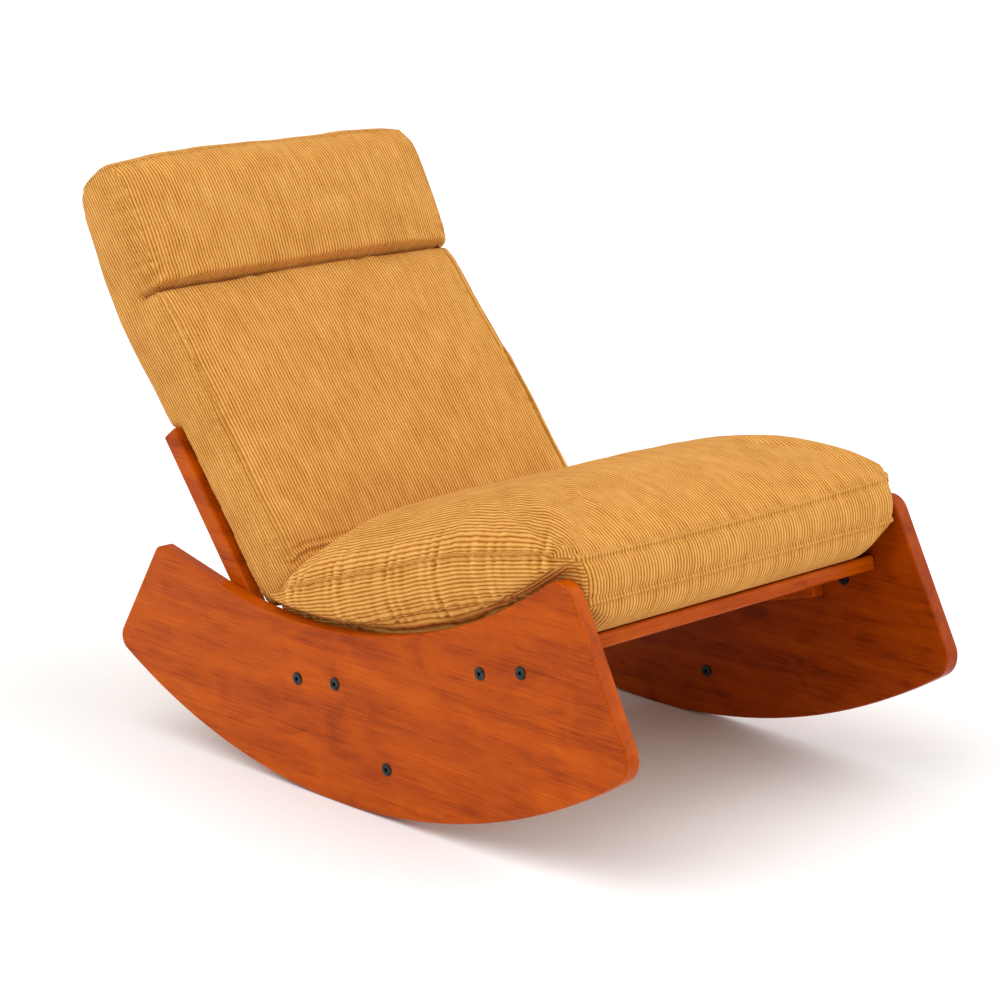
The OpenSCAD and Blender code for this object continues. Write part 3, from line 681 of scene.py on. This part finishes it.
def buildSeat():
    bm, unit = blockPoints(63)
    x, along, up = seatShape(*unit.T)
    x = clearOfRockers(x, along, up)
    for vert, place in zip(bm.verts, deckAxes.toWorld(x, along, up)):
        vert.co = place
    bmesh.ops.recalc_face_normals(bm, faces=bm.faces[:])
    piece = newObject("seat_cushion_cord", bm)
    remeshed(piece, seat["voxel"])
    turn = np.linspace(-1, 1, 320)
    one = np.ones_like(turn)
    loop = [(turn, -one), (one, turn), (-turn, one), (-one, -turn)]
    seams = []
    for level in (1.0, -0.99985):
        p, q = np.concatenate([l[0] for l in loop]), np.concatenate([l[1] for l in loop])
        sx, sa, su = seatShape(p, q, np.full_like(p, level * 0.9998))
        seams.append(deckAxes.toWorld(clearOfRockers(sx, sa, su), sa, su))
    for side in (-1, 1):       # the boxing is joined at the front corners
        w = np.linspace(-0.99, 0.99, 50)
        sx, sa, su = seatShape(np.full_like(w, side), np.full_like(w, -1.0), w)
        seams.append(deckAxes.toWorld(clearOfRockers(sx, sa, su), sa, su))
    rest = getPoints(piece.data)
    distance, run, which = nearestOn(seams, rest)
    x, along, up = deckAxes.toLocal(rest)
    stuff(piece, seat, (distance < 4 * mm) | (up < 4))
    rest = subdivided(piece, rest)
    mesh = piece.data
    distance, run, which = nearestOn(seams, rest)
    x, along, up = deckAxes.toLocal(rest)
    normals = getNormals(mesh)
    points = getPoints(mesh)
    upper, lower = np.interp(along, *seat["upperSeam"]), np.interp(along, *seat["lowerSeam"])
    d = distance / mm
    lift = seamProfile(d, seat)
    # the two long seams gather the cloth, most of all on the cushion's sides
    sideness = smooth((np.abs(normals[:, 0]) - 0.25) / 0.4)
    gather = (seat["frontPuckers"] + (1 - seat["frontPuckers"]) * sideness) * (which < 2)
    fold = gather * wobble(along * mm * sideness + run * (1 - sideness), 5)
    fold = fold * np.exp(-d / seat["puckerReach"]) * smooth(d / 4)
    lift += seat["pucker"] * fold
    lift += lumps(x, along, seat["swells"], seat["dents"]) * smooth((up - 90) / 40)
    points += normals * (lift * mm)[:, None]
    nx, na, nu = deckAxes.toLocal(points)
    # the rear boxing stays off the zip, and the underside off the slats
    na = np.where((nu > 88) | (np.abs(nx) > 248), na, np.minimum(na, seat["zipClear"]))
    nu = np.maximum(nu, 0.5)
    nx = clearOfRockers(nx, na, nu, 0.8)
    setPoints(mesh, deckAxes.toWorld(nx, na, nu))
    corners, faceOfCorner, totals = loopFacts(mesh)
    faceUp = faceMean(up, corners, faceOfCorner, totals)
    faceUpper, faceLower = (faceMean(v, corners, faceOfCorner, totals) for v in (upper, lower))
    faceSide = faceMean(np.abs(normals[:, 0]), corners, faceOfCorner, totals)
    faceNormalUp = faceMean(normals[:, 2], corners, faceOfCorner, totals)
    sideBoxing = ((faceUp < faceUpper) & (faceUp > faceLower) & (faceSide > 0.6))[faceOfCorner]
    onTop = ((faceUp > faceUpper) & (faceNormalUp > -0.2))[faceOfCorner]
    share = ((up - lower) / (upper - lower) * seat["boxingWales"])[corners]
    overCrown = np.sign(x) * np.interp(np.abs(x), acrossPlaces, rolledAcross())
    across = np.where(sideBoxing, share, np.where(onTop, overCrown[corners], x[corners]))
    lengthwise = np.where(sideBoxing, along[corners], along[corners] + up[corners])
    writeMap(piece, "wales", across * mm, lengthwise * mm)
    writeMap(piece, "seams", distance[corners], np.full(len(corners), -1.0))
    # this map carries the puckers' painted light and shade for the cloth's tone
    writeMap(piece, "folds", 0.5 + 0.5 * fold[corners], np.zeros(len(corners)))
    finishCushion(piece, "seat_cushion", ["seat_cushion"])
    return piece


def finishCushion(piece, body, replaced):
    piece.data.polygons.foreach_set("use_smooth", np.ones(len(piece.data.polygons), bool))
    piece.data.materials.clear()
    piece.data.materials.append(cordMaterial)
    piece.vertex_groups.clear()
    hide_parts(*replaced)
    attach(piece, body)
    print(piece.name, len(piece.data.polygons), "faces")


buildSeat()

# back cushion: side boxing, a deep crease, and the headrest roll above it

# mm in the back's axes: along it from its foot, and out from its padding's datum
back = {"halfWidth": 285.0, "foot": -26.0, "top": 650.0, "halfDepth": 42.0, "strutTop": 262.0,
        "edgeRadius": 15.0, "headRadius": 26.0, "rearRadiusLow": 4.0, "rearRadiusHigh": 15.0,
        "topCorner": 17.0, "footCorner": 12.0, "topEdge": 22.0, "rearTopEdge": 8.0, "footEdge": 8.0,
        "footRise": 20.0, "footRiseAtSide": 8.0, "overhang": 15.0, "swellBelow": 5.0, "rollBulge": 0.03,
        "bulge": 4.0, "overStrut": 4.0, "creasePinch": 10.0, "sideEase": 7,
        "front": ([-27, 0, 60, 250, 400, 424, 436, 443, 447, 451, 458, 470, 500, 560, 605, 625, 640, 655],
                  [-8, 2, 8, 11, 10, 7, 1, -9, -15, -8, 8, 22, 32, 40, 43, 38, 28, 10]),
        "frontAtSide": ([-27, 0, 40, 300, 424, 436, 447, 458, 475, 530, 590, 612, 640, 655],
                        [-8, 0, 1, 1, -1, -7, -18, -8, 4, 17, 31, 32, 22, 8]),
        "rear": ([-27, 0, 262, 276, 300, 430, 471, 515, 558, 599, 619, 640],
                 [-60, -69, -69.6, -97, -98, -97, -93, -87, -79, -70.5, -60, -44]),
        "topSeam": ([0, 180, 290], [654, 648, 640]), "topRear": 642.0, "topRise": 11.0,
        "seamInset": 0.952, "lowSeam": 6.0, "creaseAt": 447.0,
        "voxel": 5.5, "pressure": 4.0, "frames": 20, "cap": 10.0,
        "slitDepth": 17.0, "slitWidth": 4.4, "slitOnFlank": 0.55, "lip": 8.0,
        "ridge": 1.6, "ridgeWidth": 2.4, "groove": 1.5, "grooveAt": 6.0, "grooveWidth": 3.0,
        "pucker": 1.5, "puckerReach": 15.0, "swells": (1.5, 57, 0.6, 77, 2.0), "dents": (0.8, 21, 43, 31, 39),
        "boardClear": -70.0, "widest": 293.0, "widestHead": 307.0}
# how strongly each kind of seam shows; the crease is not sewn flat
seamStrength = {"main": 1.2, "top": 0.7, "head": 0.25, "rear": 0.6}


def backShape(p, q, w):
    # p across, q from foot to top, w from the rear (-1) to the front (1)
    halfWidth, halfDepth = back["halfWidth"], back["halfDepth"]
    halfHeight = (back["top"] - back["foot"]) / 2
    roughS = back["foot"] + (q + 1) * halfHeight
    above = smooth((roughS - 455) / 30), smooth((roughS - back["strutTop"]) / 20)
    frontRadius = back["edgeRadius"] + (back["headRadius"] - back["edgeRadius"]) * above[0]
    rearRadius = back["rearRadiusLow"] + (back["rearRadiusHigh"] - back["rearRadiusLow"]) * above[1]
    x, depth = roundedPlan(p, w, halfWidth, halfDepth, np.where(w > 0, frontRadius, rearRadius))
    x, rise = roundedPlan(x / halfWidth, q, halfWidth, halfHeight,
                          np.where(q > 0, back["topCorner"], back["footCorner"]))
    topEdge = np.where(w > 0, back["topEdge"], back["rearTopEdge"])
    rise, depth = roundedPlan(rise / halfHeight, depth / halfDepth, halfHeight, halfDepth,
                              np.where(q > 0, topEdge, back["footEdge"]))
    share, depthShare = (rise / halfHeight + 1) / 2, (depth / halfDepth + 1) / 2
    topSeam = np.interp(np.abs(x), *back["topSeam"])
    top = back["topRear"] + (topSeam - back["topRear"]) * smooth(depthShare * 1.3 - 0.3)
    # the foot's front edge clears the seat cushion's crown, and comes lower at the sides
    atSide = smooth((np.abs(x) - 235) / 40)
    footRise = back["footRise"] - (back["footRise"] - back["footRiseAtSide"]) * atSide
    foot = back["foot"] + footRise * smooth((depthShare - 0.45) / 0.55)
    s = foot + (top - foot) * share
    ease = (np.abs(x) / halfWidth) ** back["sideEase"]
    front = np.interp(s, *back["front"]) * (1 - ease) + np.interp(s, *back["frontAtSide"]) * ease
    out = np.interp(s, *back["rear"])
    wide = halfWidth + back["overStrut"] * smooth((back["strutTop"] - s) / 10)
    x = x * wide / halfWidth
    out = out + (front - out) * depthShare
    # the roll sags over the crease, and the panel below it swells up to meet it
    facing = smooth((depthShare - 0.55) / 0.35)
    sag = back["overhang"] * np.exp(-((s - 466) / 14) ** 2)
    s = s - facing * sag + facing * back["swellBelow"] * np.exp(-((s - 432) / 10) ** 2)
    crown = back["topRise"] * np.sin(np.clip(depthShare, 0, 1) * math.pi) * (1 - np.abs(p) ** 6)
    s = np.where(q > 0.9999, s + crown, s)
    crease = np.exp(-((s - back["creaseAt"]) / 9) ** 2) * smooth((out + 42) / 36)
    swell = back["bulge"] * np.sin(depthShare * math.pi) - back["creasePinch"] * crease
    x = np.where(np.abs(p) > 0.9999, x + np.sign(x) * swell, x)
    head = smooth((s - 450) / 25) * smooth((640 - s) / 30)
    x = x * (1 + back["rollBulge"] * head * smooth((out + 60) / 60) * smooth((690 - s) / 140))
    return x, s, out


def shareAt(s):
    return (s - back["foot"]) / (back["top"] - back["foot"]) * 2 - 1


def backSeams():
    one, turn = np.ones(300), np.linspace(-1, 1, 300)
    low, inset = shareAt(back["lowSeam"]), back["seamInset"]
    main, head = np.linspace(low, shareAt(436), 300), np.linspace(shareAt(462), 0.999, 300)
    paths = {"main": [(-inset * one, main, one), (inset * one, main, one), (inset * turn, low * one, one)],
             "head": [(-one, head, one), (one, head, one)],
             "top": [(turn, one, one), (-one, one, turn), (one, one, turn)],
             "rear": [(turn, one, -one), (turn, -one, -one), (-one, turn, -one), (one, turn, -one)],
             "crease": [(turn * 0.998, shareAt(back["creaseAt"]) * one, one)]}
    lines, kinds = [], []
    for kind, group in paths.items():
        for p, q, w in group:
            x, s, out = backShape(p * 0.99999, q * 0.99999, w)
            lines.append(backAxes.toWorld(x, s, out))
            kinds.append(kind)
    return lines, np.array(kinds)


def buildBack():
    bm, unit = blockPoints(95)
    for vert, place in zip(bm.verts, backAxes.toWorld(*backShape(*unit.T))):
        vert.co = place
    bmesh.ops.recalc_face_normals(bm, faces=bm.faces[:])
    piece = newObject("back_cushion_cord", bm)
    remeshed(piece, back["voxel"])
    lines, kinds = backSeams()
    rest = getPoints(piece.data)
    distance, run, which = nearestOn(lines, rest)
    stuff(piece, back, distance < np.where(kinds[which] == "crease", 10 * mm, 4 * mm))
    rest = subdivided(piece, rest)
    mesh = piece.data
    distance, run, which = nearestOn(lines, rest)
    kind = kinds[which]
    x, s, out = backAxes.toLocal(rest)
    normals, points = getNormals(mesh), getPoints(mesh)
    d = distance / mm
    lift = np.array([seamStrength.get(name, 0.0) for name in kinds])[which] * seamProfile(d, back)
    pull = np.select([kind == "head", kind == "crease", kind == "main", kind == "top"],
                     [0.75 * smooth((610 - s) / 60), 0.2, 0.3, 0.2], 0.1)
    fold = pull * wobble(run, 9) * np.exp(-d / back["puckerReach"]) * smooth(d / 5)
    lift += back["pucker"] * fold + lumps(x, s, back["swells"], back["dents"])
    points += normals * (lift * mm)[:, None]
    nx, ns, no = backAxes.toLocal(points)
    no = np.where(ns < back["strutTop"], np.maximum(no, back["boardClear"]), no)
    # the crease is a narrow slit pulled deep into the padding, under the lip of the roll
    facing = smooth((no + 42) / 34)
    slit = np.exp(-((ns - back["creaseAt"]) / back["slitWidth"]) ** 2) * facing
    onFlank = smooth((np.abs(normals[:, 0]) - 0.4) / 0.3)
    no = no - back["slitDepth"] * slit * (1 - onFlank)
    nx = nx - np.sign(nx) * back["slitOnFlank"] * back["slitDepth"] * slit * onFlank
    lip = back["lip"] * np.exp(-((ns - 461) / 9) ** 2)
    ns = ns - lip * facing + 3.0 * np.exp(-((ns - 436) / 6) ** 2) * facing
    widest = back["widest"] + (back["widestHead"] - back["widest"]) * smooth((ns - 420) / 40)
    nx = np.clip(nx, -widest, widest)
    setPoints(mesh, backAxes.toWorld(nx, ns, no))
    corners, faceOfCorner, totals = loopFacts(mesh)
    faceSide = faceMean(np.abs(normals[:, 0]), corners, faceOfCorner, totals)
    faceAcross = faceMean(np.abs(x), corners, faceOfCorner, totals)
    side = ((faceSide > 0.6) | (faceAcross > back["seamInset"] * back["halfWidth"] + 0.5))[faceOfCorner]
    across = np.where(side, out[corners] - np.abs(x)[corners], x[corners])
    lengthwise = np.where(side, s[corners], s[corners] - out[corners])
    writeMap(piece, "wales", across * mm, lengthwise * mm)
    # the crease is shaded across its whole width, and the soft edge of the roll not at all
    seamShown = np.select([kind == "head", kind == "crease"],
                          [np.maximum(distance, 9 * mm), 3.2 * mm + distance * 0.6], distance)
    writeMap(piece, "seams", seamShown[corners], np.where(kind == "top", run, -1.0)[corners])
    # this map carries the puckers' painted light and shade for the cloth's tone
    writeMap(piece, "folds", 0.5 + 0.5 * fold[corners], np.zeros(len(corners)))
    finishCushion(piece, "base", ["back_cushion", "headrest_cushion"])
    return piece


buildBack()
print("cushions sewn and stuffed")
